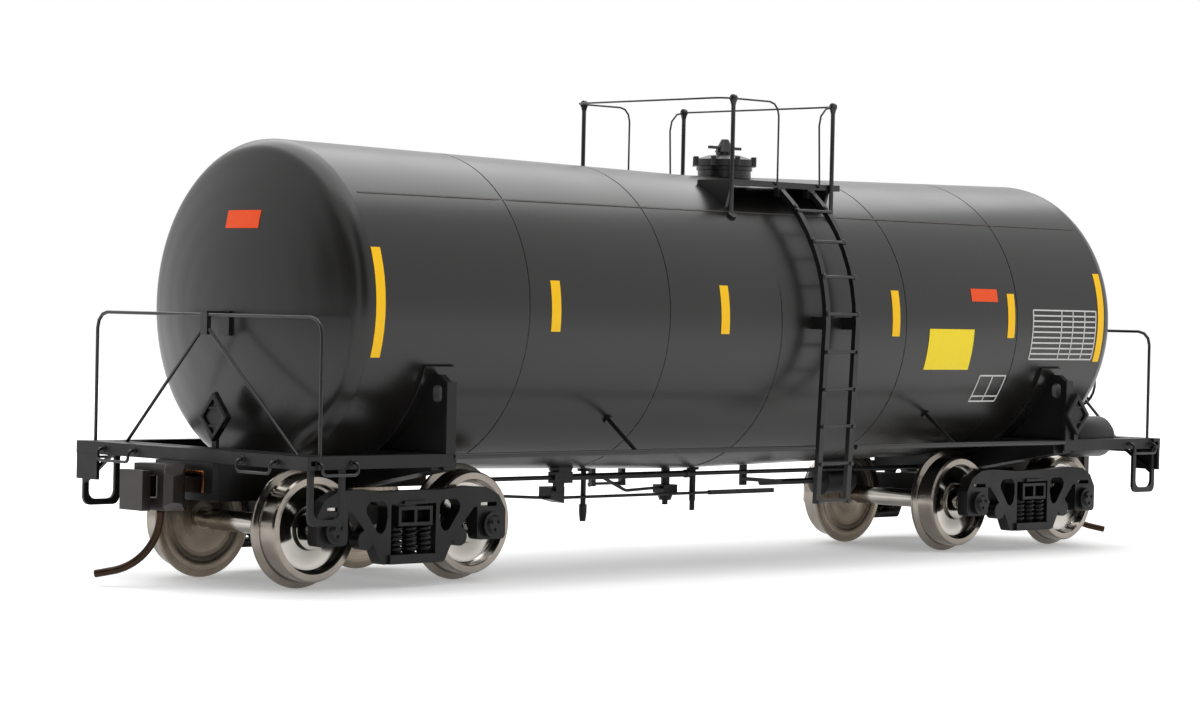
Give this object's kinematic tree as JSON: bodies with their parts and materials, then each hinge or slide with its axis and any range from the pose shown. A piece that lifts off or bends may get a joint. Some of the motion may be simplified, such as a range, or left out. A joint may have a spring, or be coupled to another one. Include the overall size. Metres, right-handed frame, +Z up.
{
  "type": "scale model railway tank car",
  "caption": "Scale model railway tank car: jacketed cylindrical tank on stub sills and two swivelling trucks, with ladders, top platform and sprung couplers.",
  "frame": {"origin": "on the floor under the middle of the car, at the bottom of the wheel flanges", "axes": "+X along the car to the hand brake end, +Y to the side without the air reservoir, +Z up"},
  "size_m": [0.1488, 0.0374, 0.0509],
  "materials": {
    "body_paint": "satin black paint",
    "frame_plastic": "satin black paint",
    "wire_paint": "black paint",
    "turned_metal": "turned, bright",
    "coupler_plastic": "moulded, dark",
    "pin_wire": "plated wire"
  },
  "bodies": {
    "tank_car": {"air_reservoir": "frame_plastic", "body_bolster_a": "frame_plastic", "body_bolster_b": "frame_plastic", "bottom_outlet": "frame_plastic", "brake_cylinder": "frame_plastic", "brake_rod": "frame_plastic", "brake_valve": "frame_plastic", "corner_plates": "frame_plastic", "end_rail_a": "wire_paint", "end_rail_b": "wire_paint", "end_sill_a": "frame_plastic", "end_sill_b": "frame_plastic", "end_walkway_a": "frame_plastic", "end_walkway_b": "frame_plastic", "grab_irons": "wire_paint", "hand_brake_stand": "frame_plastic", "hand_brake_wheel": "wire_paint", "ladder_far": "wire_paint", "ladder_near": "wire_paint", "manway_lid": "body_paint", "manway_neck": "body_paint", "pipe_hanger": "frame_plastic", "placard_holders": "frame_plastic", "saddle_pad_a": "body_paint", "saddle_pad_b": "body_paint", "side_rail_far": "wire_paint", "side_rail_near": "wire_paint", "side_sills_a": "frame_plastic", "side_sills_b": "frame_plastic", "sill_steps": "frame_plastic", "stub_sill_a": "frame_plastic", "stub_sill_b": "frame_plastic", "tank_head_a": "body_paint", "tank_head_b": "body_paint", "tank_shell": "body_paint", "top_rail_a": "wire_paint", "top_rail_b": "wire_paint", "top_walkway": "body_paint", "train_line": "frame_plastic"},
    "truck_a": {"truck_bolster_a": "frame_plastic", "side_frame_a_far": "frame_plastic", "side_frame_a_near": "frame_plastic"},
    "coupler_a": {"coupler_head_a": "coupler_plastic", "trip_pin_a": "pin_wire"},
    "knuckle_a": {"knuckle_a": "coupler_plastic"},
    "truck_b": {"truck_bolster_b": "frame_plastic", "side_frame_b_far": "frame_plastic", "side_frame_b_near": "frame_plastic"},
    "coupler_b": {"coupler_head_b": "coupler_plastic", "trip_pin_b": "pin_wire"},
    "knuckle_b": {"knuckle_b": "coupler_plastic"},
    "wheelset_1": {"axle_1": "turned_metal", "wheels_1": "turned_metal"},
    "wheelset_2": {"axle_2": "turned_metal", "wheels_2": "turned_metal"},
    "wheelset_3": {"axle_3": "turned_metal", "wheels_3": "turned_metal"},
    "wheelset_4": {"axle_4": "turned_metal", "wheels_4": "turned_metal"}
  },
  "joints": [
    {"name": "truck_a_swivel", "type": "hinge", "parent": "tank_car", "child": "truck_a", "pos_m": [-0.049, 0, 0.009], "axis": [0, 0, 1], "range_deg": [-7, 7]},
    {"name": "coupler_a_swing", "type": "hinge", "parent": "tank_car", "child": "coupler_a", "pos_m": [-0.0602, 0, 0.0099], "axis": [0, 0, 1], "range_deg": [-10, 10], "stiffness_Nm_per_rad": 0.0004},
    {"name": "knuckle_a_hinge", "type": "hinge", "parent": "coupler_a", "child": "knuckle_a", "pos_m": [-0.07, 0.0025, 0.00965], "axis": [0, 0, 1], "range_deg": [-30, 0], "stiffness_Nm_per_rad": 0.0001},
    {"name": "truck_b_swivel", "type": "hinge", "parent": "tank_car", "child": "truck_b", "pos_m": [0.049, 0, 0.009], "axis": [0, 0, 1], "range_deg": [-7, 7]},
    {"name": "coupler_b_swing", "type": "hinge", "parent": "tank_car", "child": "coupler_b", "pos_m": [0.0602, 0, 0.0099], "axis": [0, 0, 1], "range_deg": [-10, 10], "stiffness_Nm_per_rad": 0.0004},
    {"name": "knuckle_b_hinge", "type": "hinge", "parent": "coupler_b", "child": "knuckle_b", "pos_m": [0.07, -0.0025, 0.00965], "axis": [0, 0, 1], "range_deg": [-30, 0], "stiffness_Nm_per_rad": 0.0001},
    {"name": "wheelset_1_spin", "type": "hinge", "parent": "truck_a", "child": "wheelset_1", "pos_m": [-0.0592, 0, 0.00588], "axis": [0, 1, 0], "continuous": true},
    {"name": "wheelset_2_spin", "type": "hinge", "parent": "truck_a", "child": "wheelset_2", "pos_m": [-0.0388, 0, 0.00588], "axis": [0, 1, 0], "continuous": true},
    {"name": "wheelset_3_spin", "type": "hinge", "parent": "truck_b", "child": "wheelset_3", "pos_m": [0.0388, 0, 0.00588], "axis": [0, 1, 0], "continuous": true},
    {"name": "wheelset_4_spin", "type": "hinge", "parent": "truck_b", "child": "wheelset_4", "pos_m": [0.0592, 0, 0.00588], "axis": [0, 1, 0], "continuous": true}
  ]
}
